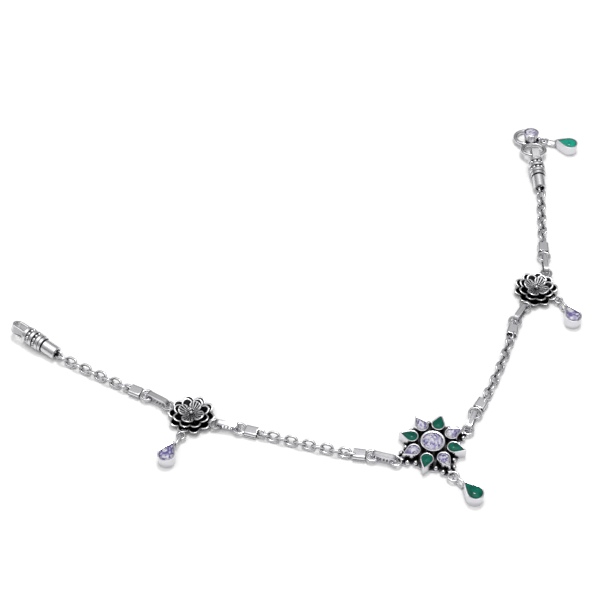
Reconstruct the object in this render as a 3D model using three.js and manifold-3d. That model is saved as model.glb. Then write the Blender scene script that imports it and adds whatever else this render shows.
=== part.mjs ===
// Payal anklet laid open: silver chain, two rosettes, a stone flower, four drops and an S hook.
// Millimetres, +Z up, resting on the plane Z = 0. +X runs to the right and +Y away from the viewer.
import * as THREE from 'three';
import { mergeVertices } from 'three/addons/utils/BufferGeometryUtils.js';
import Module from 'manifold-3d';

const wasm = await Module();
wasm.setup();

// Clearances
const GAP = 0.1;
const SEAT_GAP = 0.1;

// Chain links
const LINK_LENGTH = 3.65;
const LINK_WIDTH = 2.9;
const LINK_WIRE = 0.7;
const LINK_BITE = 0.06;
const LINK_LEAN = 35;
const END_LINK_LENGTH = 3.4;
const END_LINK_WIDTH = 2.0;
const END_LINK_WIRE = 0.6;

// Crimp: a ring, a folded box and a small eye that holds the chain
const CRIMP_RING_DIAMETER = 3.8;
const CRIMP_RING_WIRE = 0.7;
const CRIMP_NECK = 1.6;
const BOX_LENGTH = 3.1;
const BOX_WIDTH = 3.0;
const BOX_HEIGHT = 2.0;
const BOX_CORNER = 0.6;
const SEAM_HEIGHT = 0.22;
const SEAM_DEPTH = 0.6;
const CRIMP_EYE_WIRE = 0.6;

// Oblong flat link
const OBLONG_LENGTH = 7.0;
const OBLONG_WIDTH = 3.0;
const BAND_WIDTH = 1.4;
const BAND_THICKNESS = 0.55;

// Soldered rings
const LUG_DIAMETER = 3.3;
const LUG_WIRE = 0.6;
const DROP_LUG_DIAMETER = 2.6;
const TAB_WIDTH = 1.2;
const TAB_HEIGHT = 0.6;

// Centre flower
const FLOWER_LUG_RADIUS = 10.4;
const FLOWER_TAB_ROOT = 8.3;
const CENTRE_SETTING_DIAMETER = 6.2;
const CENTRE_SETTING_HEIGHT = 3.4;
const CENTRE_WALL = 0.6;
const PEAR_START_RADIUS = 3.7;
const PEAR_LENGTH = 5.0;
const PEAR_WIDTH = 3.45;
const PEAR_HEIGHT = 3.2;
const PEAR_WALL = 0.38;
const PEAR_COUNT = 8;
const FLOWER_PLATE_DIAMETER = 14.6;
const FLOWER_PLATE_THICKNESS = 0.8;
const GRANULE_DIAMETER = 1.35;
const NOTCH_GRANULE_RADIUS = 6.6;
const FLANK_GRANULE_RADIUS = 8.2;
const FLANK_GRANULE_SPREAD = 11;

// Stones: lip over the girdle, girdle band, crown, table inset and pavilion
const LIP_HEIGHT = 0.25;
const GIRDLE = 0.15;
const CROWN = 0.5;
const TABLE_INSET = 0.7;
const PAVILION = 1.5;
const CULET = 0.12;

// Rosette
const ROSETTE_LUG_OUT = 0.75;
const ROSETTE_DROP_LUG_OUT = 0.75;
const ROSETTE_TAB_ROOT = 3.9;
const OUTER_TIER = {
  lobes: 10, diameter: 12.1, foot: 5.2, notch: 0.8,
  base: 0, floor: 0.8, rim: 1.75, wall: 0.5,
};
const MIDDLE_TIER = {
  lobes: 8, diameter: 9.6, foot: 3.6, notch: 0.8,
  base: 0.5, floor: 1.4, rim: 2.45, wall: 0.45,
};
const TOP_TIER = {
  lobes: 4, diameter: 6.9, foot: 1.8, notch: 1.3,
  base: 1.2, floor: 1.9, rim: 3.05, wall: 0.7,
};
const CENTRE_BALL_DIAMETER = 1.1;
const CENTRE_BALL_HEIGHT = 2.25;

// Drops
const DROP_LENGTH = 6.5;
const DROP_WIDTH = 4.4;
const DROP_HEIGHT = 3.3;
const DROP_WALL = 0.42;
const BAIL_LENGTH = 4.1;
const BAIL_WIDTH = 2.2;
const BAIL_WIRE = 0.6;
const BAIL_OVERLAP = 0.55;
const BAIL_LEAN = 68;

// End caps
const SLEEVE_DIAMETER = 3.6;
const SLEEVE_LENGTH = 4.1;
const BORE_DIAMETER = 2.4;
const PIN_DIAMETER = 0.5;
const PIN_DEPTH = 0.7;
const NECK_DIAMETER = 3.0;
const NECK_LENGTH = 0.3;
const BARREL_DIAMETER = 4.6;
const BAND_LENGTH = 0.9;
const BAND_SHARES = [0.9, 0.98, 0.98, 0.93];
const BEAD_DIAMETER = 1.15;
const BEADS_PER_ROW = 10;
const NOSE_LENGTH = 0.4;
const NOSE_DIAMETER = 3.8;
const EYE_LENGTH = 4.4;
const EYE_WIDTH = 3.8;
const EYE_BAND = 2.2;
const EYE_THICKNESS = 0.65;

// S hook
const HOOK_WIRE = 1.3;
const LOOP_LENGTH = 7.8;
const LOOP_DEPTH = 6.8;
const ARC_RADIUS = 3.3;
const ARC_START = -50;
const ARC_SWEEP = 250;
const ARC_SHIFT = -1.2;
const HOOK_SAG = 0.25;
const HOOK_BACK = 2.6;
const HOOK_SETTING_DIAMETER = 4.4;
const HOOK_SETTING_FOOT = 3.2;
const HOOK_SETTING_HEIGHT = 3.7;
const HOOK_WALL = 0.38;
const HOOK_SETTING_SHIFT = -0.3;
const HOOK_LUG_REACH = 3.8;

// Mesh fineness
const WIRE_SIDES = 5;
const LOOP_STEPS = 10;
const ROUND_SIDES = 14;

// Route of the laid chain. Headings in degrees from +X towards +Y. A pull is how far in mm a
// link is drawn out of the crimp's eye. A reach is from a soldered ring to the crimp's ring.
const ROUTE = {
  left: {
    flowerLug: 207,
    toCrimp: { heading: 164.6, reach: 6.15, roll: 90 },
    crimpOut: { heading: 172, pull: 0.2 },
    chain: { links: 10, from: 166, to: 163.5, lean: -1, faceFirst: true },
    crimpIn: { heading: 164, pull: 0 },
    toRosette: { heading: 168, reach: 6.3, roll: 96 },
    rosette: { heading: 155.1 },
    toEndCrimp: { heading: 149, reach: 6.5, roll: 96 },
    endCrimp: { heading: 155, pull: 0.3 },
    endChain: { links: 9, from: 152.5, to: 150, lean: -1, faceFirst: false },
    cap: { heading: 144, roll: 30 },
    drop: { lug: -110, heading: -116 },
  },
  right: {
    flowerLug: 27,
    toCrimp: { heading: 67, reach: 5.75, roll: 90 },
    crimpOut: { heading: 59, pull: 0.45 },
    chain: { links: 9, from: 64, to: 71, lean: 1, faceFirst: true },
    crimpIn: { heading: 74, pull: 0.45 },
    toRosette: { heading: 57.6, reach: 6.1, roll: 95 },
    rosette: { heading: 60.1 },
    toEndCrimp: { heading: 90.6, reach: 6.1, roll: 90 },
    endCrimp: { heading: 87.5, pull: 0.3 },
    endChain: { links: 8, from: 86.5, to: 85.5, lean: -1, faceFirst: false },
    cap: { heading: 92, roll: 90 },
    drop: { lug: -33, heading: -66 },
  },
  centreDrop: { lug: 297, heading: -50 },
  claspDrop: { heading: -20 },
};

// Sizes that follow from the ones above
const ROSETTE_LUG_RADIUS = OUTER_TIER.diameter / 2 + ROSETTE_LUG_OUT;
const ROSETTE_DROP_LUG_RADIUS = OUTER_TIER.diameter / 2 + ROSETTE_DROP_LUG_OUT;
const LINK_PITCH = LINK_LENGTH - 2 * LINK_WIRE + LINK_BITE;
const LINK_BEND = (LINK_WIDTH - LINK_WIRE) / 2;
const AXIS_Z = LINK_BEND * Math.cos(THREE.MathUtils.degToRad(LINK_LEAN)) + LINK_WIRE / 2;
const CRIMP_EYE_REACH = LINK_PITCH - GAP;
const CRIMP_EYE_WIDTH = LINK_WIRE + 3 * GAP + 2 * CRIMP_EYE_WIRE;
const CRIMP_REACH = CRIMP_NECK + BOX_LENGTH + GAP + LINK_LENGTH / 2;
const OBLONG_REACH = OBLONG_LENGTH - BAND_THICKNESS;
const END_PITCH = (LINK_LENGTH + END_LINK_LENGTH) / 2 - LINK_WIRE - END_LINK_WIRE + LINK_BITE;
const PIN_OFFSET = END_LINK_LENGTH / 2 - END_LINK_WIRE - GAP - PIN_DIAMETER / 2;
const BORE_DEPTH = PIN_DEPTH + PIN_DIAMETER / 2 + END_LINK_WIRE + 2.5 * GAP;
const BARREL_LENGTH = BAND_SHARES.length * BAND_LENGTH + 2 * BEAD_DIAMETER + NOSE_LENGTH;
const CAP_LENGTH = SLEEVE_LENGTH + NECK_LENGTH + BARREL_LENGTH + EYE_LENGTH;
const CAP_REST = SLEEVE_LENGTH + NECK_LENGTH + 2 * BAND_LENGTH + BEAD_DIAMETER / 2;
const CAP_TILT = Math.atan((BARREL_DIAMETER - SLEEVE_DIAMETER) / 2 / CAP_REST);
const MOUTH_Z = SLEEVE_DIAMETER / 2 * Math.cos(CAP_TILT);
const PEAR_CENTRE_RADIUS = PEAR_START_RADIUS + PEAR_WIDTH / 2;
const ARC_CENTRE_Y = LOOP_DEPTH - 1.5 * HOOK_WIRE + ARC_RADIUS + HOOK_WIRE / 2;
const HOOK_SETTING_Y = LOOP_DEPTH - HOOK_WIRE + HOOK_SETTING_FOOT / 2;

const SILVER = { color: 0xd2d2d4, roughness: 0.22, metalness: 1 };
const OXIDISED = { color: 0x8c8c90, roughness: 0.35, metalness: 1 };
const CLEAR = { color: 0xd9d4ee, roughness: 0.05, metalness: 0 };
const GREEN = { color: 0x06604a, roughness: 0.15, metalness: 0 };

const anklet = new THREE.Group();
const rad = THREE.MathUtils.degToRad;

// Solids
function toSolid(geometry) {
  const bare = geometry.clone();
  bare.deleteAttribute('normal');
  bare.deleteAttribute('uv');
  const merged = mergeVertices(bare, 1e-4);
  const vertProperties = Float32Array.from(merged.attributes.position.array);
  const triVerts = Uint32Array.from(merged.index.array);
  return new wasm.Manifold(new wasm.Mesh({ numProp: 3, vertProperties, triVerts }));
}

function toGeometry(solid) {
  const mesh = solid.getMesh();
  const geometry = new THREE.BufferGeometry();
  geometry.setAttribute('position', new THREE.BufferAttribute(mesh.vertProperties, 3));
  geometry.setIndex(new THREE.BufferAttribute(mesh.triVerts, 1));
  geometry.computeVertexNormals();
  return geometry;
}

function fuse(geometries) {
  return toGeometry(geometries.map(toSolid).reduce((sum, next) => sum.add(next)));
}

function cut(base, tool) {
  return toGeometry(toSolid(base).subtract(toSolid(tool)));
}

// Frames: a point, a heading in the plan, an elevation and a roll about the heading, in degrees
function frame(point, heading, roll = 0, elevation = 0) {
  const turn = new THREE.Matrix4().makeRotationZ(rad(heading));
  turn.multiply(new THREE.Matrix4().makeRotationY(-rad(elevation)));
  turn.multiply(new THREE.Matrix4().makeRotationX(rad(roll)));
  return turn.setPosition(point);
}

function step(point, heading, distance, elevation = 0) {
  const level = distance * Math.cos(rad(elevation));
  const move = new THREE.Vector3(level * Math.cos(rad(heading)), level * Math.sin(rad(heading)), 0);
  move.z = distance * Math.sin(rad(elevation));
  return move.add(point);
}

function addPiece(name, geometry, look, place = new THREE.Matrix4()) {
  const mesh = new THREE.Mesh(geometry, new THREE.MeshStandardMaterial(look));
  mesh.name = name;
  mesh.applyMatrix4(place);
  anklet.add(mesh);
}

// A closed wire loop in the XY plane with round ends, its length along X. The negative radius
// turns the wire's section, so that a corner lies on the inside of each bend.
function wireLoop(length, width, wire) {
  const bend = (width - wire) / 2;
  const loop = new THREE.TorusGeometry(bend, -wire / 2, WIRE_SIDES, LOOP_STEPS);
  const straight = (length - width) / 2;
  const position = loop.attributes.position;
  for (let i = 0; i < position.count; i++) {
    position.setX(i, position.getX(i) + Math.sign(position.getX(i)) * straight);
  }
  return loop;
}

function wireRing(diameter, wire) {
  return wireLoop(diameter, diameter, wire);
}

// A box given by its size and centre
function block(length, width, height, x, y, z) {
  return new THREE.BoxGeometry(length, width, height).translate(x, y, z);
}

function granule(x, y, z) {
  return new THREE.SphereGeometry(GRANULE_DIAMETER / 2, 6, 4).rotateX(Math.PI / 2).translate(x, y, z);
}

// A solid through level sections of one outline, each section as [height, inset from the outline]
function loft(outline, halfWidth, sections) {
  const count = outline.length;
  const position = [];
  for (const [z, inset] of sections) {
    const share = (halfWidth - inset) / halfWidth;
    outline.forEach((p) => position.push(p.x * share, p.y * share, z));
  }
  const index = [];
  for (let level = 0; level < sections.length - 1; level++) {
    for (let i = 0; i < count; i++) {
      const a = level * count + i;
      const b = level * count + (i + 1) % count;
      index.push(a, b, b + count, a, b + count, a + count);
    }
  }
  const last = (sections.length - 1) * count;
  const bottom = position.length / 3;
  position.push(0, 0, sections[0][0], 0, 0, sections[sections.length - 1][0]);
  for (let i = 0; i < count; i++) {
    index.push(bottom, (i + 1) % count, i, bottom + 1, last + i, last + (i + 1) % count);
  }
  const geometry = new THREE.BufferGeometry();
  geometry.setAttribute('position', new THREE.Float32BufferAttribute(position, 3));
  geometry.setIndex(index);
  return geometry;
}

// Outlines, counter-clockwise. A pear has its round end about the origin and its tip towards -X.
function pearOutline(length, width) {
  const radius = width / 2;
  const tip = new THREE.Vector2(-(length - radius), 0);
  const touch = Math.PI - Math.acos(radius / (length - radius));
  const points = [];
  for (let i = 0; i <= 6; i++) {
    const angle = touch * (i / 3 - 1);
    points.push(new THREE.Vector2(radius * Math.cos(angle), radius * Math.sin(angle)));
  }
  const swell = (end) => end.clone().multiplyScalar(1.07).add(tip).multiplyScalar(0.5);
  return [...points, swell(points[6]), tip, swell(points[0])];
}

function roundOutline(diameter) {
  return Array.from({ length: ROUND_SIDES }, (_, i) => {
    const angle = (i / ROUND_SIDES) * 2 * Math.PI;
    return new THREE.Vector2(Math.cos(angle), Math.sin(angle)).multiplyScalar(diameter / 2);
  });
}

function lobedOutline(lobes, radius, notch) {
  const perLobe = lobes > 5 ? 3 : 5;
  return Array.from({ length: lobes * perLobe }, (_, i) => {
    const angle = ((i / perLobe + 0.5) / lobes) * 2 * Math.PI;
    const reach = i % perLobe === 0 ? radius - notch : radius;
    return new THREE.Vector2(Math.cos(angle), Math.sin(angle)).multiplyScalar(reach);
  });
}

// Stone and the hollow of its setting, both from the outer outline of the setting
function stoneShape(outline, halfWidth, top, wall) {
  const girdle = top - LIP_HEIGHT;
  return loft(outline, halfWidth, [
    [girdle - GIRDLE - PAVILION, halfWidth - CULET],
    [girdle - GIRDLE, wall],
    [girdle, wall],
    [girdle + CROWN, wall + TABLE_INSET],
  ]);
}

function settingHollow(outline, halfWidth, top, wall) {
  const girdle = top - LIP_HEIGHT;
  const slope = TABLE_INSET / CROWN;
  return loft(outline, halfWidth, [
    [girdle - GIRDLE - PAVILION - 2 * SEAT_GAP, halfWidth - 2 * CULET],
    [girdle - GIRDLE - SEAT_GAP / 3, wall - SEAT_GAP],
    [girdle + SEAT_GAP / 2, wall - SEAT_GAP],
    [top + CROWN, wall - SEAT_GAP + slope * LIP_HEIGHT],
  ]);
}

function setting(outline, halfWidth, top, wall, flare = 0) {
  const body = loft(outline, halfWidth, [[0, flare], [top, 0]]);
  return cut(body, settingHollow(outline, halfWidth, top, wall));
}

// Crimp: origin in the middle of its ring on the chain's axis, +X towards the chain
function crimp(eyeRoll) {
  const shape = new THREE.Shape();
  const y = BOX_WIDTH / 2;
  const z = BOX_HEIGHT / 2;
  const c = BOX_CORNER;
  shape.moveTo(-y + c, -z);
  shape.lineTo(y - c, -z);
  shape.lineTo(y, -z + c);
  shape.lineTo(y, z - c);
  shape.lineTo(y - c, z);
  shape.lineTo(-y + c, z);
  shape.lineTo(-y, z - c);
  shape.lineTo(-y, -z + c);
  const box = new THREE.ExtrudeGeometry(shape, { depth: BOX_LENGTH, bevelEnabled: false });
  box.rotateZ(Math.PI / 2).rotateY(Math.PI / 2).translate(CRIMP_NECK, 0, z - AXIS_Z);
  const boxMiddle = CRIMP_NECK + BOX_LENGTH / 2;
  const seamTool = block(2 * BOX_LENGTH, 2 * SEAM_DEPTH, SEAM_HEIGHT, boxMiddle, -y, z - AXIS_Z);
  const ring = wireRing(CRIMP_RING_DIAMETER, CRIMP_RING_WIRE);
  const eyeLength = CRIMP_EYE_REACH + 2 * CRIMP_EYE_WIRE;
  const eye = wireLoop(eyeLength, CRIMP_EYE_WIDTH, CRIMP_EYE_WIRE).rotateX(rad(eyeRoll));
  eye.translate(CRIMP_NECK + BOX_LENGTH + CRIMP_EYE_REACH - eyeLength / 2, 0, 0);
  return fuse([cut(box, seamTool), ring, eye]);
}

// Flat oval link in the XY plane, its length along X
function oblongLink() {
  const outline = (length, width) => {
    const path = new THREE.Shape();
    const middle = (length - width) / 2;
    path.absarc(middle, 0, width / 2, -Math.PI / 2, Math.PI / 2, false);
    path.absarc(-middle, 0, width / 2, Math.PI / 2, 1.5 * Math.PI, false);
    return path;
  };
  const shape = outline(OBLONG_LENGTH, OBLONG_WIDTH);
  shape.holes.push(outline(OBLONG_LENGTH - 2 * BAND_THICKNESS, OBLONG_WIDTH - 2 * BAND_THICKNESS));
  const link = new THREE.ExtrudeGeometry(shape, { depth: BAND_WIDTH, bevelEnabled: false, curveSegments: 3 });
  return link.translate(0, 0, -BAND_WIDTH / 2);
}

// A soldered ring lying level at the chain's height, with the tab that joins it to the body
function lug(radius, heading, diameter, tabRoot) {
  const tabEnd = radius - diameter / 2 + LUG_WIRE / 2;
  const tab = block(tabEnd - tabRoot, TAB_WIDTH, TAB_HEIGHT, (tabEnd + tabRoot) / 2, 0, AXIS_Z);
  const ring = wireRing(diameter, LUG_WIRE).translate(radius, 0, AXIS_Z);
  return [tab, ring].map((shape) => shape.rotateZ(rad(heading)));
}

function pearPlace(i) {
  const heading = ROUTE.right.flowerLug + (360 / PEAR_COUNT) * i;
  return frame(step(new THREE.Vector3(), heading, PEAR_CENTRE_RADIUS), heading + 180);
}

// Centre flower: everything soldered to the plate
function centreFlower(lugHeadings) {
  const plate = new THREE.CylinderGeometry(
    FLOWER_PLATE_DIAMETER / 2, FLOWER_PLATE_DIAMETER / 2, FLOWER_PLATE_THICKNESS, 3 * PEAR_COUNT);
  plate.rotateX(Math.PI / 2).translate(0, 0, FLOWER_PLATE_THICKNESS / 2);
  const centre = roundOutline(CENTRE_SETTING_DIAMETER);
  const shapes = [plate, setting(centre, CENTRE_SETTING_DIAMETER / 2, CENTRE_SETTING_HEIGHT, CENTRE_WALL)];
  const pear = setting(pearOutline(PEAR_LENGTH, PEAR_WIDTH), PEAR_WIDTH / 2, PEAR_HEIGHT, PEAR_WALL);
  const granuleZ = FLOWER_PLATE_THICKNESS + GRANULE_DIAMETER / 4;
  for (let i = 0; i < PEAR_COUNT; i++) {
    shapes.push(pear.clone().applyMatrix4(pearPlace(i)));
    const notch = ROUTE.right.flowerLug + (360 / PEAR_COUNT) * (i + 0.5);
    const seat = step(new THREE.Vector3(), notch, NOTCH_GRANULE_RADIUS);
    shapes.push(granule(seat.x, seat.y, granuleZ));
  }
  for (const heading of lugHeadings) {
    shapes.push(...lug(FLOWER_LUG_RADIUS, heading, LUG_DIAMETER, FLOWER_TAB_ROOT));
    for (const side of [-1, 1]) {
      const turn = heading + side * FLANK_GRANULE_SPREAD;
      const seat = step(new THREE.Vector3(), turn, FLANK_GRANULE_RADIUS);
      shapes.push(granule(seat.x, seat.y, granuleZ));
    }
    const foot = new THREE.CylinderGeometry(2.4 * TAB_WIDTH / 2 + LUG_WIRE, 2.4 * TAB_WIDTH / 2 + LUG_WIRE,
      FLOWER_PLATE_THICKNESS, ROUND_SIDES / 2);
    const seat = step(new THREE.Vector3(), heading, FLANK_GRANULE_RADIUS - LUG_WIRE);
    shapes.push(foot.rotateX(Math.PI / 2).translate(seat.x, seat.y, FLOWER_PLATE_THICKNESS / 2));
  }
  return fuse(shapes);
}

// Rosette: scalloped cups one above the other, a ball in the middle, and its soldered rings
function tier(size) {
  const radius = size.diameter / 2;
  const footInset = radius - size.foot / 2;
  return loft(lobedOutline(size.lobes, radius, size.notch), radius, [
    [size.base, footInset],
    [size.rim - size.wall / 2, 0],
    [size.rim, size.wall],
    [size.floor, footInset],
  ]);
}

function rosette(heading, dropHeading) {
  const ball = new THREE.SphereGeometry(CENTRE_BALL_DIAMETER / 2, 8, 5).rotateX(Math.PI / 2);
  ball.translate(0, 0, CENTRE_BALL_HEIGHT);
  return fuse([
    tier(OUTER_TIER).rotateZ(rad(heading + 180 / OUTER_TIER.lobes)),
    tier(MIDDLE_TIER).rotateZ(rad(heading)),
    tier(TOP_TIER).rotateZ(rad(heading)),
    ball,
    ...lug(ROSETTE_LUG_RADIUS, heading, LUG_DIAMETER, ROSETTE_TAB_ROOT),
    ...lug(ROSETTE_LUG_RADIUS, heading + 180, LUG_DIAMETER, ROSETTE_TAB_ROOT),
    ...lug(ROSETTE_DROP_LUG_RADIUS, dropHeading, DROP_LUG_DIAMETER, ROSETTE_TAB_ROOT),
  ]);
}

// Drop: origin in the middle of the ring that it hangs on, +X to the stone, which lies on Z = 0
const DROP_TIP = BAIL_LENGTH - BAIL_WIRE / 2 - BAIL_OVERLAP;
const DROP_CENTRE = DROP_TIP + DROP_LENGTH - DROP_WIDTH / 2;

function dropSetting(ringHeight) {
  const cup = setting(pearOutline(DROP_LENGTH, DROP_WIDTH), DROP_WIDTH / 2, DROP_HEIGHT, DROP_WALL);
  const bail = wireLoop(BAIL_LENGTH, BAIL_WIDTH, BAIL_WIRE).rotateX(rad(BAIL_LEAN));
  bail.translate((BAIL_LENGTH - BAIL_WIRE) / 2, 0, 0);
  return fuse([cup.translate(DROP_CENTRE, 0, -ringHeight), bail]);
}

function dropStone(ringHeight) {
  const stone = stoneShape(pearOutline(DROP_LENGTH, DROP_WIDTH), DROP_WIDTH / 2, DROP_HEIGHT, DROP_WALL);
  return stone.translate(DROP_CENTRE, 0, -ringHeight);
}

function addDrop(name, point, heading, look) {
  addPiece(name, dropSetting(point.z), SILVER, frame(point, heading));
  addPiece(name + '_stone', dropStone(point.z), look, frame(point, heading));
}

// End cap: origin in the middle of the sleeve's mouth, +X towards the eye
function endCap(eyeRoll, pinRoll) {
  const bore = BORE_DIAMETER / 2;
  const sleeve = SLEEVE_DIAMETER / 2;
  const neck = NECK_DIAMETER / 2;
  const barrel = BARREL_DIAMETER / 2;
  const profile = [[0, BORE_DEPTH], [bore, BORE_DEPTH], [bore, 0], [sleeve, 0], [sleeve, SLEEVE_LENGTH]];
  let x = SLEEVE_LENGTH + NECK_LENGTH;
  profile.push([neck, SLEEVE_LENGTH], [neck, x]);
  const beadRows = [];
  for (const [row, share] of BAND_SHARES.entries()) {
    profile.push([share * barrel, x], [share * barrel, x + BAND_LENGTH]);
    x += BAND_LENGTH;
    if (row === 1 || row === 2) {
      beadRows.push(profile.length);
      profile.push([barrel, x + BEAD_DIAMETER / 2]);
      x += BEAD_DIAMETER;
    }
  }
  profile.push([NOSE_DIAMETER / 2, x + NOSE_LENGTH], [0, x + NOSE_LENGTH]);
  const points = profile.map(([r, along]) => new THREE.Vector2(r, along));
  const body = new THREE.LatheGeometry(points, 2 * BEADS_PER_ROW);
  const position = body.attributes.position;
  const between = 1 - BEAD_DIAMETER / 2 / barrel;
  for (let i = 0; i < position.count; i++) {
    if (!beadRows.includes(i % points.length) || Math.floor(i / points.length) % 2 === 0) continue;
    position.setX(i, position.getX(i) * between);
    position.setZ(i, position.getZ(i) * between);
  }
  body.rotateZ(-Math.PI / 2);
  const outline = (half, start, end) => {
    const path = new THREE.Shape();
    path.moveTo(start, -half);
    path.lineTo(end - half, -half);
    path.absarc(end - half, 0, half, -Math.PI / 2, Math.PI / 2, false);
    path.lineTo(start, half);
    path.closePath();
    return path;
  };
  const start = x;
  const shape = outline(EYE_WIDTH / 2, start, CAP_LENGTH);
  const inner = EYE_WIDTH / 2 - EYE_THICKNESS;
  shape.holes.push(outline(inner, start + EYE_THICKNESS, CAP_LENGTH - EYE_THICKNESS));
  const eye = new THREE.ExtrudeGeometry(shape, { depth: EYE_BAND, bevelEnabled: false, curveSegments: 4 });
  eye.translate(0, 0, -EYE_BAND / 2).rotateX(rad(eyeRoll));
  const pin = new THREE.CylinderGeometry(PIN_DIAMETER / 2, PIN_DIAMETER / 2, bore + sleeve, 8);
  pin.rotateX(Math.PI / 2).translate(PIN_DEPTH, 0, 0).rotateX(rad(pinRoll));
  return fuse([body, eye, pin]);
}

// S hook: origin where the loop's near wire passes the eye, +Y along the cap, lying in XY
function hookSettingPlace() {
  return new THREE.Matrix4().makeTranslation(HOOK_SETTING_SHIFT, HOOK_SETTING_Y, -HOOK_WIRE / 4);
}

function sHook() {
  const loop = new THREE.TorusGeometry((LOOP_LENGTH - HOOK_WIRE) / 2, HOOK_WIRE / 2, 6, ROUND_SIDES);
  const squeeze = (LOOP_DEPTH - HOOK_WIRE) / (LOOP_LENGTH - HOOK_WIRE);
  const position = loop.attributes.position;
  for (let i = 0; i < position.count; i++) {
    position.setY(i, position.getY(i) * squeeze + (LOOP_DEPTH - HOOK_WIRE) / 2);
  }
  const path = new THREE.CatmullRomCurve3(Array.from({ length: 13 }, (_, i) => {
    const angle = rad(ARC_START - (ARC_SWEEP * i) / 12);
    return new THREE.Vector3(
      ARC_SHIFT + ARC_RADIUS * Math.cos(angle), ARC_CENTRE_Y + ARC_RADIUS * Math.sin(angle), 0);
  }));
  const section = new THREE.Shape();
  section.absarc(0, 0, HOOK_WIRE / 2, 0, 2 * Math.PI, false);
  const arc = new THREE.ExtrudeGeometry(section, { steps: 12, extrudePath: path, curveSegments: 3 });
  const tip = path.getPoint(1);
  const end = new THREE.SphereGeometry(HOOK_WIRE * 0.56, 6, 4).translate(tip.x, tip.y, tip.z);
  const outline = roundOutline(HOOK_SETTING_DIAMETER);
  const flare = (HOOK_SETTING_DIAMETER - HOOK_SETTING_FOOT) / 2;
  const cup = setting(outline, HOOK_SETTING_DIAMETER / 2, HOOK_SETTING_HEIGHT, HOOK_WALL, flare);
  cup.applyMatrix4(hookSettingPlace());
  const ring = wireRing(DROP_LUG_DIAMETER, LUG_WIRE).translate(HOOK_LUG_REACH, HOOK_SETTING_Y, 0);
  const tabLength = HOOK_LUG_REACH - HOOK_SETTING_SHIFT - DROP_LUG_DIAMETER / 2 + LUG_WIRE / 2;
  const tab = block(tabLength, TAB_WIDTH, TAB_HEIGHT, HOOK_SETTING_SHIFT + tabLength / 2, HOOK_SETTING_Y, 0);
  const beadX = HOOK_SETTING_SHIFT + HOOK_SETTING_DIAMETER / 2 + GRANULE_DIAMETER / 4;
  return fuse([loop, arc, end, cup, ring, tab, granule(beadX, HOOK_SETTING_Y, TAB_HEIGHT)]);
}

function hookStone() {
  const outline = roundOutline(HOOK_SETTING_DIAMETER);
  const stone = stoneShape(outline, HOOK_SETTING_DIAMETER / 2, HOOK_SETTING_HEIGHT, HOOK_WALL);
  return stone.applyMatrix4(hookSettingPlace());
}

// Chain: fused links along a run of centres. Links turn a quarter from one to the next.
function linkRoll(run, i) {
  const faces = (i % 2 === 0) === run.faceFirst;
  return run.lean * (faces ? LINK_LEAN : LINK_LEAN - 90);
}

function chainHeading(run, i) {
  return run.from + ((run.to - run.from) * i) / Math.max(1, run.links - 1);
}

function chainFrames(start, run, climb) {
  const centres = [start];
  const headings = [];
  for (let i = 0; i < run.links - 1; i++) {
    const rising = i === run.links - 2 ? climb : 0;
    headings.push(chainHeading(run, i + 0.5));
    centres.push(step(centres[i], headings[i], LINK_PITCH, rising));
  }
  return centres.map((centre, i) => {
    const rise = i === run.links - 1 ? climb : 0;
    return { centre, heading: chainHeading(run, i), rise, roll: linkRoll(run, i) };
  });
}

function chainLinks(frames) {
  return frames.map((f) => {
    const link = wireLoop(LINK_LENGTH, LINK_WIDTH, LINK_WIRE);
    return link.applyMatrix4(frame(f.centre, f.heading, f.roll, f.rise));
  });
}

// A crimp set by the middle of its ring, facing its chain along the heading
function addCrimp(name, ringCentre, heading, chainRoll) {
  addPiece(name, crimp(chainRoll + 90), SILVER, frame(ringCentre, heading));
}

// The flat link between a soldered ring and a crimp's ring. Its play is shared between both.
function addOblong(name, lugCentre, leg) {
  const play = leg.reach - OBLONG_REACH;
  const middle = step(lugCentre, leg.heading, OBLONG_REACH / 2 + 0.4 * play);
  const lean = rad(leg.roll);
  middle.z = OBLONG_WIDTH / 2 * Math.sin(lean) + BAND_WIDTH / 2 * Math.abs(Math.cos(lean));
  addPiece(name, oblongLink(), SILVER, frame(middle, leg.heading, leg.roll));
}

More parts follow.
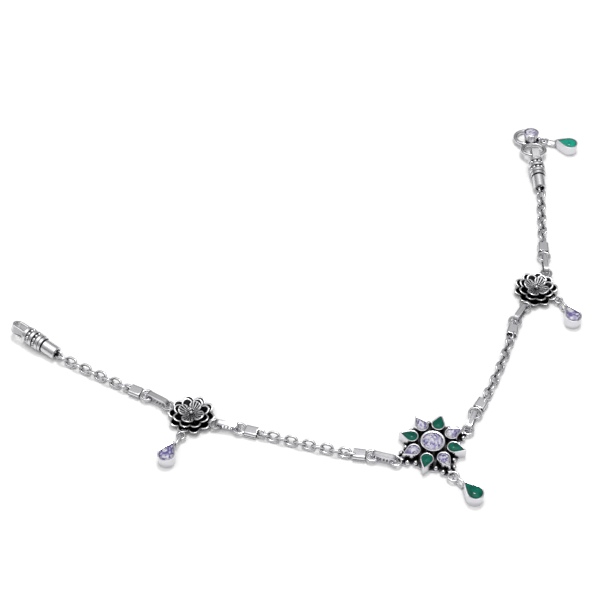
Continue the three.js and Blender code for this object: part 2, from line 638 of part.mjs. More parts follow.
// One side of the anklet, from the flower's ring out to the end cap
function addStrand(side, names) {
  const flowerLug = step(new THREE.Vector3(0, 0, AXIS_Z), side.flowerLug, FLOWER_LUG_RADIUS);
  addOblong(names.oblongs[0], flowerLug, side.toCrimp);
  const ringA = step(flowerLug, side.toCrimp.heading, side.toCrimp.reach);
  addCrimp(names.crimps[0], ringA, side.crimpOut.heading, linkRoll(side.chain, 0));
  const first = step(ringA, side.crimpOut.heading, CRIMP_REACH + side.crimpOut.pull);
  const frames = chainFrames(first, side.chain, 0);
  addPiece(names.chains[0], fuse(chainLinks(frames)), SILVER);
  const last = frames[frames.length - 1];
  const ringB = step(last.centre, side.crimpIn.heading, CRIMP_REACH + side.crimpIn.pull);
  addCrimp(names.crimps[1], ringB, side.crimpIn.heading + 180, -last.roll);
  const nearLug = step(ringB, side.toRosette.heading, side.toRosette.reach);
  const back = { ...side.toRosette, heading: side.toRosette.heading + 180 };
  addOblong(names.oblongs[1], nearLug, back);
  const middle = step(nearLug, side.rosette.heading, ROSETTE_LUG_RADIUS);
  const seat = new THREE.Vector3(middle.x, middle.y, 0);
  addPiece(names.rosette, rosette(side.rosette.heading, side.drop.lug), OXIDISED, frame(seat, 0));
  addDrop(names.drop, step(middle, side.drop.lug, ROSETTE_DROP_LUG_RADIUS), side.drop.heading, CLEAR);
  const farLug = step(middle, side.rosette.heading, ROSETTE_LUG_RADIUS);
  addOblong(names.oblongs[2], farLug, side.toEndCrimp);
  const ringC = step(farLug, side.toEndCrimp.heading, side.toEndCrimp.reach);
  addCrimp(names.crimps[2], ringC, side.endCrimp.heading, linkRoll(side.endChain, 0));
  return addEnd(side, names, step(ringC, side.endCrimp.heading, CRIMP_REACH + side.endCrimp.pull));
}

// The end chain rises into the cap's sleeve, where its small end link goes round the pin
function addEnd(side, names, first) {
  const tilt = THREE.MathUtils.radToDeg(CAP_TILT);
  const climb = THREE.MathUtils.radToDeg(Math.asin((MOUTH_Z - AXIS_Z) / (LINK_PITCH + END_PITCH)));
  const frames = chainFrames(first, side.endChain, climb);
  const last = frames[frames.length - 1];
  const endRoll = linkRoll(side.endChain, side.endChain.links);
  const centre = step(last.centre, side.cap.heading, END_PITCH, climb);
  const endLink = wireLoop(END_LINK_LENGTH, END_LINK_WIDTH, END_LINK_WIRE);
  endLink.applyMatrix4(frame(centre, side.cap.heading, endRoll, tilt));
  addPiece(names.chains[1], fuse([...chainLinks(frames), endLink]), SILVER);
  const mouth = step(centre, side.cap.heading, PIN_OFFSET - PIN_DEPTH, tilt);
  addPiece(names.cap, endCap(side.cap.roll, endRoll), SILVER, frame(mouth, side.cap.heading, 0, tilt));
  return { mouth, heading: side.cap.heading, tilt };
}

function addHook(cap) {
  const origin = step(cap.mouth, cap.heading, CAP_LENGTH - HOOK_BACK, cap.tilt);
  origin.z -= HOOK_SAG;
  const farthest = ARC_CENTRE_Y + ARC_RADIUS;
  const drop = THREE.MathUtils.radToDeg(Math.asin((origin.z - HOOK_WIRE / 2) / farthest));
  const across = new THREE.Matrix4().makeRotationZ(-Math.PI / 2);
  const place = frame(origin, cap.heading, 0, -drop).multiply(across);
  addPiece('s_hook', sHook(), SILVER, place);
  addPiece('s_hook_stone', hookStone(), CLEAR, place);
  const ring = new THREE.Vector3(HOOK_LUG_REACH, HOOK_SETTING_Y, 0).applyMatrix4(place);
  addDrop('drop_clasp', ring, ROUTE.claspDrop.heading, GREEN);
}

function addFlower() {
  const { lug: dropLug, heading } = ROUTE.centreDrop;
  addPiece('centre_flower', centreFlower([ROUTE.left.flowerLug, ROUTE.right.flowerLug, dropLug]), OXIDISED);
  const centre = roundOutline(CENTRE_SETTING_DIAMETER);
  const stone = stoneShape(centre, CENTRE_SETTING_DIAMETER / 2, CENTRE_SETTING_HEIGHT, CENTRE_WALL);
  addPiece('flower_stone_centre', stone, CLEAR);
  for (let i = 0; i < PEAR_COUNT; i++) {
    const pear = stoneShape(pearOutline(PEAR_LENGTH, PEAR_WIDTH), PEAR_WIDTH / 2, PEAR_HEIGHT, PEAR_WALL);
    const kind = i % 2 === 0 ? 'clear' : 'green';
    addPiece(`flower_${kind}_${Math.floor(i / 2) + 1}`, pear, kind === 'clear' ? CLEAR : GREEN, pearPlace(i));
  }
  addDrop('drop_centre', step(new THREE.Vector3(0, 0, AXIS_Z), dropLug, FLOWER_LUG_RADIUS), heading, GREEN);
}

addFlower();
addStrand(ROUTE.left, {
  oblongs: ['oblong_link_3', 'oblong_link_2', 'oblong_link_1'],
  crimps: ['crimp_3', 'crimp_2', 'crimp_1'],
  chains: ['chain_2', 'chain_1'],
  rosette: 'rosette_left',
  drop: 'drop_left',
  cap: 'catch_cap',
});
const hookCap = addStrand(ROUTE.right, {
  oblongs: ['oblong_link_4', 'oblong_link_5', 'oblong_link_6'],
  crimps: ['crimp_4', 'crimp_5', 'crimp_6'],
  chains: ['chain_3', 'chain_4'],
  rosette: 'rosette_right',
  drop: 'drop_right',
  cap: 'hook_cap',
});
addHook(hookCap);

// The origin is in the middle of the laid anklet, on the surface that it lies on
const extent = new THREE.Box3().setFromObject(anklet, true).getCenter(new THREE.Vector3());
anklet.position.set(-extent.x, -extent.y, 0);

export default anklet;
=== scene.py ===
# %% [markdown]
# # A silver payal anklet, laid open
# The anklet is chain, two petal rosettes, a stone-set flower, four pear drops, two end caps and
# an S hook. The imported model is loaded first. It gives the place of the flower, and every other
# piece is laid out from there with the sizes of the solids, so each one lies on its own solid.

# %% Load the frame
import math
import bpy
import bmesh
from mathutils import Matrix, Vector


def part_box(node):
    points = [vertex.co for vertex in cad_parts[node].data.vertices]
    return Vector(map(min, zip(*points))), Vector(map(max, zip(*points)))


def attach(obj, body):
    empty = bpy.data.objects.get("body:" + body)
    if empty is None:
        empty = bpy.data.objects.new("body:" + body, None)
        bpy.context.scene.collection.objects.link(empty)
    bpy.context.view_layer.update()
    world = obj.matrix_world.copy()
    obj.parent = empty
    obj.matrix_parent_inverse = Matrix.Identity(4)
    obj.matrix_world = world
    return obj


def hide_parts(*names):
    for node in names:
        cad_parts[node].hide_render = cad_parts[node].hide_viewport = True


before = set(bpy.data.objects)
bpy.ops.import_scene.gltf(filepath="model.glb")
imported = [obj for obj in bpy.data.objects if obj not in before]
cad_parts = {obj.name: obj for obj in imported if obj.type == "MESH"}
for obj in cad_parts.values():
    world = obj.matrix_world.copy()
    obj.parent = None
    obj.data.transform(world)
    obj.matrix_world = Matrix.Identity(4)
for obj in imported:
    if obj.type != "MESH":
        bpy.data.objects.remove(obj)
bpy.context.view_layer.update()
scene = bpy.context.scene
print("nodes in the frame:", len(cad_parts))

# %% [markdown]
# ## The camera
# The photograph looks down at about 50 degrees through a long lens. The camera could be aimed by
# eye, but a measured height and distance keep every piece over its own place in the picture.

# %% Camera over the laid anklet
MM = 0.001
FOCAL, SENSOR = 95.1, 36
LOOKING_DOWN = 50.3
FLOWER_TO_CAMERA = Vector((-33.12, -225.5, 329.9))
low, high = (Vector(corner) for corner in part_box("flower_stone_centre"))
FLOWER = Vector(((low.x + high.x) / 2, (low.y + high.y) / 2, 0))
camera_data = bpy.data.cameras.new("photo_camera")
camera_data.sensor_width = SENSOR
camera_data.lens = FOCAL
camera = bpy.data.objects.new("photo_camera", camera_data)
camera.location = FLOWER + FLOWER_TO_CAMERA * MM
camera.rotation_euler = (math.radians(90 - LOOKING_DOWN), 0, 0)
scene.collection.objects.link(camera)
scene.camera = camera
print("camera at", [round(v, 3) for v in camera.location])

# %% [markdown]
# ## Silver, polished and oxidised
# Sterling silver is polished bright, then the piece is dipped so that a black sulphide forms, and
# the raised parts are polished back. The dark stays where a cloth can't reach. The Ambient
# Occlusion node finds those places from the shape itself, so the same finish suits every piece.
# The shape can also say so itself, in an attribute that is low in a recess and high on a rim.

# %% Colours and the node helpers
def linear(code):
    channels = [int(code[i:i + 2], 16) / 255 for i in (1, 3, 5)]
    return tuple(c / 12.92 if c <= 0.04045 else ((c + 0.055) / 1.055) ** 2.4 for c in channels) + (1,)


def node(tree, kind, inputs=None, **settings):
    made = tree.nodes.new(kind)
    for key, value in settings.items():
        setattr(made, key, value)
    for key, value in (inputs or {}).items():
        if isinstance(value, bpy.types.NodeSocket):
            tree.links.new(value, made.inputs[key])
        else:
            made.inputs[key].default_value = value
    return made


def new_material(name, **values):
    made = bpy.data.materials.new(name)
    made.use_nodes = True
    shader = made.node_tree.nodes["Principled BSDF"]
    for key, value in values.items():
        shader.inputs[key.replace("_", " ")].default_value = value
    return made, made.node_tree, shader


def pattern(tree, kind, cell_mm, **more):
    place = node(tree, "ShaderNodeTexCoord")
    return node(tree, kind, {"Vector": place.outputs["Object"], "Scale": 1 / (cell_mm * MM), **more})


def blend(tree, share, dark, light):
    return node(tree, "ShaderNodeMix", {0: share, 6: linear(dark), 7: linear(light)}, data_type="RGBA")


# %% Silver with oxide in its recesses
TARNISH_MM, TARNISH_DRIFT = 2.0, 0.3
MARKS_MM, MARKS_DEPTH_MM, MARKS_STRENGTH = 0.25, 0.02, 0.12
RUBBED_SHARE = 0.35


def silver(name, bright, dark, reach_mm, low_ao, high_ao, rough):
    made, tree, shader = new_material(name, Metallic=1.0)
    hollow = node(tree, "ShaderNodeAmbientOcclusion", {"Distance": reach_mm * MM}, samples=8)
    hollow.only_local = True
    drift = pattern(tree, "ShaderNodeTexNoise", TARNISH_MM, Detail=3.0)
    marks = pattern(tree, "ShaderNodeTexNoise", MARKS_MM, Detail=2.0)
    stain = node(tree, "ShaderNodeMath", {0: drift.outputs["Fac"], 1: TARNISH_DRIFT}, operation="MULTIPLY")
    bare = node(tree, "ShaderNodeMath", {0: hollow.outputs["AO"], 1: stain.outputs[0]}, operation="SUBTRACT")
    # The polishing cloth rubs rims and ribs bright; "worn" says how much, from -1 to 1
    rubbed = node(tree, "ShaderNodeAttribute", attribute_name="worn")
    level = node(tree, "ShaderNodeMath", {0: rubbed.outputs["Fac"], 1: RUBBED_SHARE, 2: bare.outputs[0]},
                 operation="MULTIPLY_ADD")
    clean = node(tree, "ShaderNodeMapRange", {
        "Value": level.outputs[0], "From Min": low_ao, "From Max": high_ao})
    sheen = node(tree, "ShaderNodeMapRange", {
        "Value": marks.outputs["Fac"], "From Min": 0.3, "From Max": 0.7,
        "To Min": rough * 0.8, "To Max": rough * 1.3})
    bump = node(tree, "ShaderNodeBump", {
        "Height": marks.outputs["Fac"], "Strength": MARKS_STRENGTH, "Distance": MARKS_DEPTH_MM * MM})
    tree.links.new(blend(tree, clean.outputs[0], dark, bright).outputs[2], shader.inputs["Base Color"])
    tree.links.new(sheen.outputs[0], shader.inputs["Roughness"])
    tree.links.new(bump.outputs[0], shader.inputs["Normal"])
    return made


# Clean colour, oxide colour, reach in mm, occlusion of full and of no oxide, roughness
POLISHED = silver("polished_sterling_silver", "#d4d3d7", "#1d1c1f", 1.2, 0.3, 0.78, 0.17)
ANTIQUED = silver("antiqued_sterling_silver", "#d4d3d7", "#0d0c0e", 1.4, 0.3, 0.7, 0.18)
BRUSHED = silver("brushed_sterling_silver", "#d8d7da", "#0d0c0e", 1.2, 0.3, 0.75, 0.3)
CAST = silver("oxidised_cast_silver", "#cfced1", "#0b0a0c", 1.2, 0.5, 0.95, 0.26)
BLACKENED = silver("blackened_sterling_silver", "#2c2b2e", "#080708", 1.4, 0.3, 0.9, 0.34)
print("silver finishes:", POLISHED.name, ANTIQUED.name, BRUSHED.name, CAST.name, BLACKENED.name)

# %% [markdown]
# ## Stones
# The clear stones are cut zirconia, brighter than glass. Their colour holds painted light: patches
# from violet to white for the flashes of the facets under the lamps, and a painted shade on each
# facet. The ones in the drops have darker painted flashes, with more of the violet. The green ones
# are onyx, dyed and polished, so they are opaque with a wet gloss; the clasp's is painted lighter.

# %% Stone finishes
PAINTED_FLASH_MM, FACET_SHADE_SHARE = 1 / 1.9, 0.4
PAINTED_FLASHES = ((0.0, "#655ca6"), (0.36, "#b3abdb"), (0.5, "#e4e0f5"), (0.6, "#ffffff"))
CLOUD_MM = 1 / 0.6


def clear_stone(name, shade):
    made, tree, shader = new_material(name, Roughness=0.03, IOR=2.0, Transmission_Weight=0.4)
    # Painted flashes and shade: patches under the table, and a painted shade of its own on each facet
    flare = pattern(tree, "ShaderNodeTexVoronoi", PAINTED_FLASH_MM)
    facet = node(tree, "ShaderNodeNewGeometry")
    facet_shade = node(tree, "ShaderNodeTexWhiteNoise", {"Vector": facet.outputs["True Normal"]},
               noise_dimensions="3D")
    share = node(tree, "ShaderNodeMix", {0: FACET_SHADE_SHARE, 2: flare.outputs["Color"], 3: facet_shade.outputs["Value"]},
                 data_type="FLOAT")
    # The ramp turns the mix into painted flashes, from violet shade to white highlight
    tone = node(tree, "ShaderNodeValToRGB", {"Fac": share.outputs[0]})
    ramp = tone.color_ramp
    ramp.interpolation = "CONSTANT"
    ramp.elements.remove(ramp.elements[1])
    ramp.elements[0].color = linear(PAINTED_FLASHES[0][1])
    for position, code in PAINTED_FLASHES[1:]:
        ramp.elements.new(position + shade).color = linear(code)
    tree.links.new(tone.outputs[0], shader.inputs["Base Color"])
    return made


def green_stone(name, dark, light):
    made, tree, shader = new_material(name, Roughness=0.08, IOR=1.54, Specular_IOR_Level=0.16)
    cloud = pattern(tree, "ShaderNodeTexNoise", CLOUD_MM, Detail=4.0)
    depth = node(tree, "ShaderNodeMapRange", {
        "Value": cloud.outputs["Fac"], "From Min": 0.3, "From Max": 0.7})
    tree.links.new(blend(tree, depth.outputs[0], dark, light).outputs[2], shader.inputs["Base Color"])
    return made


ZIRCONIA = clear_stone("clear_zirconia", 0.0)
# The drops' stones: the same cut, with darker painted flashes and more violet
ZIRCONIA_DARKER_FLASHES = clear_stone("zirconia_darker_painted_flashes", 0.12)
ONYX = green_stone("green_onyx", "#00453a", "#006b56")
# A lit copy of the green onyx for the clasp drop's stone: painted lighter, as if it caught more light
ONYX_PAINTED_LIT = green_stone("green_onyx_painted_lighter", "#007562", "#12a088")
print("stones:", ZIRCONIA.name, ZIRCONIA_DARKER_FLASHES.name, ONYX.name, ONYX_PAINTED_LIT.name)

# %% [markdown]
# ## Shared tools
# A jeweller makes most of this from few forms: bent wire, turned caps, sheet cups and granules.
# The helpers below make those forms with bmesh operators, in millimetres at the origin. A place
# is a point, a heading in the plan, an elevation and a roll. Solder joins the parts of a piece,
# so its parts are joined with Boolean unions into one closed skin.

# %% Places
STILL = Matrix.Identity(4)
CENTRE = Vector((0, 0, 0))
UPRIGHT = Matrix.Rotation(-math.pi / 2, 4, "Y")


def rolled(degrees):
    return Matrix.Rotation(math.radians(degrees), 4, "X")


def place_at(point, heading, roll=0.0, elevation=0.0):
    turn = Matrix.Rotation(math.radians(heading), 4, "Z")
    turn = turn @ Matrix.Rotation(-math.radians(elevation), 4, "Y")
    return Matrix.Translation(point) @ turn @ rolled(roll)


def step(point, heading, distance, elevation=0.0):
    level = distance * math.cos(math.radians(elevation))
    turn = math.radians(heading)
    rise = distance * math.sin(math.radians(elevation))
    return point + Vector((level * math.cos(turn), level * math.sin(turn), rise))


def moved(bm, matrix):
    bmesh.ops.transform(bm, matrix=matrix, verts=bm.verts)
    return bm


# %% Wear, from -1 for a black recess to 1 for a rubbed rim
BLACK = -1.0


def start_shape():
    bm = bmesh.new()
    return bm, bm.verts.layers.float.new("worn")


def new_vert(bm, worn, spot, rub):
    vert = bm.verts.new(spot)
    vert[worn] = rub[0] if rub else 0.0
    return vert


# %% Wire and band loops
FULL_TURN = 2 * math.pi


def spun(bm, profile_geom, axis, steps):
    bmesh.ops.spin(bm, geom=profile_geom, cent=(0, 0, 0), axis=axis, angle=FULL_TURN, steps=steps,
                   use_merge=True)


def section_loop(section, bend, straight, steps):
    bm, worn = start_shape()
    verts = [new_vert(bm, worn, (bend + out, 0, up), rub) for out, up, *rub in section]
    edges = [bm.edges.new((verts[i - 1], verts[i])) for i in range(len(verts))]
    start = Matrix.Rotation(math.pi / steps, 3, "Z")
    bmesh.ops.rotate(bm, cent=(0, 0, 0), matrix=start, verts=verts)
    spun(bm, verts + edges, (0, 0, 1), steps)
    for vert in bm.verts:
        vert.co.x += math.copysign(straight, vert.co.x)
    bmesh.ops.recalc_face_normals(bm, faces=bm.faces)
    return bm


def round_section(wire, sides, flat=1.0):
    turns = [FULL_TURN * i / sides for i in range(sides)]
    return [(wire / 2 * math.cos(turn), wire / 2 * flat * math.sin(turn)) for turn in turns]


def wire_loop(length, width, wire, steps=28, sides=12, flat=1.0):
    return section_loop(round_section(wire, sides, flat), (width - wire) / 2, (length - width) / 2, steps)


# %% Turned forms, balls and bars
MERGE = 0.001


def turned(profile, steps=40):
    bm, worn = start_shape()
    verts = [new_vert(bm, worn, (along, radius, 0), rub) for along, radius, *rub in profile]
    edges = [bm.edges.new((verts[i], verts[i + 1])) for i in range(len(verts) - 1)]
    spun(bm, verts + edges, (1, 0, 0), steps)
    bmesh.ops.remove_doubles(bm, verts=bm.verts, dist=MERGE)
    bmesh.ops.recalc_face_normals(bm, faces=bm.faces)
    return bm


def ball(diameter, point, steps=14, rub=0.0):
    bm, worn = start_shape()
    bmesh.ops.create_uvsphere(bm, u_segments=steps, v_segments=steps // 2 + 1, radius=diameter / 2)
    for vert in bm.verts:
        vert[worn] = rub
    return moved(bm, Matrix.Translation(point))


def bar(size, centre, edge=0.08):
    bm = bmesh.new()
    bmesh.ops.create_cube(bm, size=1.0)
    bmesh.ops.scale(bm, vec=size, verts=bm.verts)
    bmesh.ops.bevel(bm, geom=bm.edges[:], offset=edge, segments=2, profile=0.5, affect="EDGES", material=-1)
    return moved(bm, Matrix.Translation(centre))


# %% Outlines and stacked cups
PEAR_BELLY = 0.07


def pear_outline(length, width, round_steps=22, side_steps=6):
    radius = width / 2
    tip = Vector((-(length - radius), 0))
    touch = math.pi - math.acos(radius / (length - radius))
    points = []
    for i in range(round_steps + 1):
        turn = touch * (2 * i / round_steps - 1)
        points.append(Vector((radius * math.cos(turn), radius * math.sin(turn))))
    for start, end, outward in ((points[-1], tip, 1.0), (tip, points[0], -1.0)):
        middle = (start + end) / 2 + Vector((0, outward * PEAR_BELLY * radius))
        last = side_steps if end is tip else side_steps - 1
        for i in range(1, last + 1):
            t = i / side_steps
            points.append(start * (1 - t) ** 2 + middle * 2 * t * (1 - t) + end * t * t)
    return points


def round_outline(diameter, steps=40):
    turns = [FULL_TURN * i / steps for i in range(steps)]
    return [Vector((math.cos(turn), math.sin(turn))) * (diameter / 2) for turn in turns]


def stacked(outline, half_width, levels):
    bm, worn = start_shape()
    ring = [bm.verts.new((p.x, p.y, 0)) for p in outline]
    bm.faces.new(ring)
    edges = bm.edges[:]
    for number, (z, inset, *rub) in enumerate(levels):
        if number:
            made = bmesh.ops.extrude_edge_only(bm, edges=edges)["geom"]
            fresh = [v for v in made if isinstance(v, bmesh.types.BMVert)]
            edges = [e for e in made if isinstance(e, bmesh.types.BMEdge)]
            ring = [next(e.other_vert(vert) for e in vert.link_edges if e.other_vert(vert) in fresh)
                    for vert in ring]
        share = (half_width - inset) / half_width
        for vert, p in zip(ring, outline):
            vert.co = (p.x * share, p.y * share, z)
            vert[worn] = rub[0] if rub else 0.0
    bm.faces.new(ring)
    bmesh.ops.recalc_face_normals(bm, faces=bm.faces)
    return bm


# %% Joining and finishing
def temporary(bm, index):
    mesh = bpy.data.meshes.new("part")
    bmesh.ops.triangulate(bm, faces=[f for f in bm.faces if len(f.verts) > 4])
    bm.to_mesh(mesh)
    bm.free()
    for face in mesh.polygons:
        face.material_index = index
    # Empty places for the materials keep each face's number through the union
    for _ in range(3):
        mesh.materials.append(None)
    part = bpy.data.objects.new("part", mesh)
    scene.collection.objects.link(part)
    return part


def soldered(parts):
    made = [temporary(p[0], p[1]) if isinstance(p, tuple) else temporary(p, 0) for p in parts]
    for other in made[1:]:
        joint = made[0].modifiers.new("solder", "BOOLEAN")
        joint.operation = "UNION"
        joint.solver = "MANIFOLD"
        joint.object = other
    bpy.context.view_layer.update()
    graph = bpy.context.evaluated_depsgraph_get()
    mesh = bpy.data.meshes.new_from_object(made[0].evaluated_get(graph))
    for part in made:
        old = part.data
        bpy.data.objects.remove(part)
        bpy.data.meshes.remove(old)
    return mesh


def finished(name, parts, nodes, materials=(POLISHED,), smooth=32, place=STILL):
    mesh = soldered(parts)
    mesh.transform(Matrix.Translation(FLOWER) @ Matrix.Scale(MM, 4) @ place)
    mesh.materials.clear()
    for material in materials:
        mesh.materials.append(material)
    mesh.shade_smooth()
    mesh.set_sharp_from_angle(angle=math.radians(smooth))
    piece = bpy.data.objects.new(name, mesh)
    scene.collection.objects.link(piece)
    even = piece.modifiers.new("even_shading", "WEIGHTED_NORMAL")
    even.keep_sharp = True
    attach(piece, "root")
    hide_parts(*nodes)
    print(name, len(mesh.polygons), "faces")


# %% [markdown]
# ## Sizes and the laid route
# These are the sizes of the solids, in millimetres. The chain is walked outward from the flower,
# one piece after the other, as it was laid on the table.

# %% Sizes of the chain and its ends
GAP = 0.1
LINK, LINK_WIDTH, LINK_WIRE, BITE, LEAN = 3.65, 2.9, 0.7, 0.06, 35
LINK_FLATNESS = 0.94
END_LINK, END_WIDTH, END_WIRE = 3.4, 2.0, 0.6
PITCH = LINK - 2 * LINK_WIRE + BITE
END_PITCH = (LINK + END_LINK) / 2 - LINK_WIRE - END_WIRE + BITE
AXIS = (LINK_WIDTH - LINK_WIRE) / 2 * math.cos(math.radians(LEAN)) + LINK_WIRE / 2
NECK, BOX, BOX_HEIGHT, BOX_WIDTH, BOX_CORNER, BOX_MOUTH = 1.6, 3.1, 2.0, 3.0, 0.6, 0.6
CRIMP_RING, CRIMP_RING_WIRE, CRIMP_EYE_WIRE = 3.8, 0.7, 0.6
SEAM, SEAM_DEPTH, SEAM_LIP = 0.22, 0.6, 0.06
SCORE, SCORE_DROP = 0.3, 0.1
CRIMP_REACH = NECK + BOX + GAP + LINK / 2
OBLONG, OBLONG_WIDTH, BAND, BAND_WALL, BAND_RIM = 7.0, 3.0, 1.4, 0.55, 0.26
STUD, STUD_PITCH, STUDS = 0.5, 0.85, 5
FLOWER_LUG, ROSETTE_LUG = 10.4, 6.8
LUG, DROP_LUG, LUG_WIRE, TAB_WIDTH, TAB_HEIGHT = 3.3, 2.6, 0.6, 1.1, 0.6
print("chain pitch", round(PITCH, 2), "mm, axis height", round(AXIS, 3), "mm")

# %% Sizes of the caps
SLEEVE, SLEEVE_LENGTH, BORE, CAP_NECK, CAP_NECK_LENGTH = 3.6, 4.1, 2.4, 3.0, 0.3
PIN_DEPTH, PIN, PIN_LENGTH = 0.7, 0.5, 3.0
BARREL, BAND_SHARES, BAND_LENGTH = 4.6, (0.9, 0.98, 0.98, 0.93), 0.9
GROOVE, BEADS, BEAD, BEAD_RADIUS, BEAD_ROW = 3.56, 10, 1.1, 1.74, 1.15
NOSE, EYE, EYE_WIDTH, EYE_BAND, EYE_WALL, EYE_HIDDEN = 0.4, 4.4, 3.8, 2.2, 0.65, 2.0
CAP_FRONT = SLEEVE_LENGTH + CAP_NECK_LENGTH
CAP_LENGTH = CAP_FRONT + len(BAND_SHARES) * BAND_LENGTH + 2 * BEAD_ROW + NOSE + EYE
CAP_REST = CAP_FRONT + 2 * BAND_LENGTH + BEAD_ROW / 2
CAP_TILT = math.degrees(math.atan((BARREL - SLEEVE) / 2 / CAP_REST))
MOUTH_Z = SLEEVE / 2 * math.cos(math.radians(CAP_TILT))
print("caps", round(CAP_LENGTH, 2), "mm long, tilted", round(CAP_TILT, 2), "degrees")

# %% Route
# A leg is a heading, a reach and a roll; out, inward and end_crimp are a heading and a pull. A run
# is its number of links, first and last heading, side of its lean and whether its first link
# faces up. A cap is a heading and the roll of its eye. A drop is its ring's heading and its own.
LEFT = dict(
    label="left", numbers=(3, 2, 1), chains=(2, 1), cap_name="catch_cap",
    lug=207, to_crimp=(164.6, 6.15, 90), out=(172, 0.2), chain=(10, 166, 163.5, -1, True),
    inward=(164, 0.0), to_rosette=(168, 6.3, 96), rosette=155.1, to_end=(149, 6.5, 96),
    end_crimp=(155, 0.3), end_chain=(9, 152.5, 150, -1, False), cap=(144, 30), drop=(-110, -116))
RIGHT = dict(
    label="right", numbers=(4, 5, 6), chains=(3, 4), cap_name="hook_cap",
    lug=27, to_crimp=(67, 5.75, 90), out=(59, 0.45), chain=(9, 64, 71, 1, True),
    inward=(74, 0.45), to_rosette=(57.6, 6.1, 95), rosette=60.1, to_end=(90.6, 6.1, 90),
    end_crimp=(87.5, 0.3), end_chain=(8, 86.5, 85.5, -1, False), cap=(92, 90), drop=(-33, -66))
for side in (LEFT, RIGHT):
    print(side["label"], "strand:", side["chain"][0] + side["end_chain"][0], "links")

# %% [markdown]
# ## Chain
# The links are soldered ovals of round wire, rolled a quarter turn from one to the next. Each link
# is one bent loop, and the links of a run are joined where they touch.

# %% Chain runs
def link_roll(run, i):
    faces = (i % 2 == 0) == run[4]
    return run[3] * (LEAN if faces else LEAN - 90)


def run_heading(run, i):
    return run[1] + (run[2] - run[1]) * i / max(1, run[0] - 1)


def run_frames(start, run, climb=0.0):
    centres = [start]
    for i in range(run[0] - 1):
        rising = climb if i == run[0] - 2 else 0.0
        centres.append(step(centres[-1], run_heading(run, i + 0.5), PITCH, rising))
    frames = []
    for i, centre in enumerate(centres):
        rise = climb if i == run[0] - 1 else 0.0
        frames.append((centre, run_heading(run, i), link_roll(run, i), rise))
    return frames


def add_chain(name, frames, extra=()):
    links = [moved(wire_loop(LINK, LINK_WIDTH, LINK_WIRE, flat=LINK_FLATNESS), place_at(*f)) for f in frames]
    finished(name + "_links", links + list(extra), [name])


# %% [markdown]
# ## Crimps and oblong links
# A crimp is a folded box with a flat ring on one side and a small eye for the chain on the other.
# Its outline already holds the open seam and the scored line, so one stack makes the whole box.
# The oblong links are bent from strip with a shallow channel outside. Five low dark studs on each
# inner face stand for the worn pattern that the photograph shows there.

# %% Crimp
def notch(side, depth, lower=0.0):
    wide = BOX_WIDTH / 2
    steps = [(-SEAM / 2 - SEAM_LIP, wide), (-SEAM / 2, wide - SEAM_LIP), (-SEAM / 2, wide - depth),
             (SEAM / 2, wide - depth), (SEAM / 2, wide - SEAM_LIP), (SEAM / 2 + SEAM_LIP, wide)]
    points = [Vector((x + lower, side * y)) for x, y in steps]
    return points if side < 0 else points[::-1]


def box_outline():
    corners = []
    for turn in (0, 90, 180, 270):
        away = Vector((math.copysign(BOX_HEIGHT / 2 - BOX_CORNER, math.cos(math.radians(turn + 45))),
                       math.copysign(BOX_WIDTH / 2 - BOX_CORNER, math.sin(math.radians(turn + 45)))))
        angles = [math.radians(turn + 15 * i) for i in range(7)]
        corners.append([away + Vector((math.cos(a), math.sin(a))) * BOX_CORNER for a in angles])
    scored, seam = notch(1, SCORE, SCORE_DROP), notch(-1, SEAM_DEPTH)
    return corners[0] + scored + corners[1] + corners[2] + seam + corners[3]


def crimp_parts(eye_roll):
    # The last two levels line the box's mouth in black: oxide, and painted shade for the dark inside of the
    # hollow box
    box = stacked(box_outline(), BOX_WIDTH / 2, [
        (0, 0.1), (0.04, 0.03), (0.12, 0), (BOX - 0.12, 0), (BOX - 0.04, 0.03), (BOX, 0.1), (BOX, 0.26),
        (BOX - 0.08, 0.3, BLACK), (BOX - BOX_MOUTH, 0.3, BLACK)])
    moved(box, Matrix.Translation((NECK, 0, BOX_HEIGHT / 2 - AXIS)) @ Matrix.Rotation(math.pi / 2, 4, "Y"))
    ring = wire_loop(CRIMP_RING, CRIMP_RING, CRIMP_RING_WIRE, steps=32)
    reach = PITCH - GAP
    length = reach + 2 * CRIMP_EYE_WIRE
    eye = moved(wire_loop(length, LINK_WIRE + 3 * GAP + 2 * CRIMP_EYE_WIRE, CRIMP_EYE_WIRE), rolled(eye_roll))
    moved(eye, Matrix.Translation((NECK + BOX + reach - length / 2, 0, 0)))
    return [box, ring, eye]


def add_crimp(number, point, heading, chain_roll):
    name = f"crimp_{number}"
    finished(name + "_folded", crimp_parts(chain_roll + 90), [name], place=place_at(point, heading))


# %% Oblong link
def oblong_parts():
    half, wall, soft, groove = BAND / 2, BAND_WALL / 2, 0.08, 0.06
    section = [(-wall, -half + soft), (-wall, half - soft), (-wall + soft, half), (wall - groove, half),
               (wall, half - groove), (wall, half - BAND_RIM), (wall - groove, half - BAND_RIM - 0.05),
               (wall - groove, -half + BAND_RIM + 0.05), (wall, -half + BAND_RIM), (wall, -half + groove),
               (wall - groove, -half), (-wall + soft, -half)]
    strip = section_loop(section, (OBLONG_WIDTH - BAND_WALL) / 2, (OBLONG - OBLONG_WIDTH) / 2, 28)
    parts = [strip]
    for side in (-1, 1):
        for i in range(STUDS):
            spot = ((i - 2) * STUD_PITCH, side * (OBLONG_WIDTH / 2 - BAND_WALL), 0)
            flat = Matrix.Translation(spot) @ Matrix.Diagonal((1.1, 0.4, 1.6, 1))
            parts.append(moved(ball(STUD, (0, 0, 0), 12, BLACK), flat))
    return parts


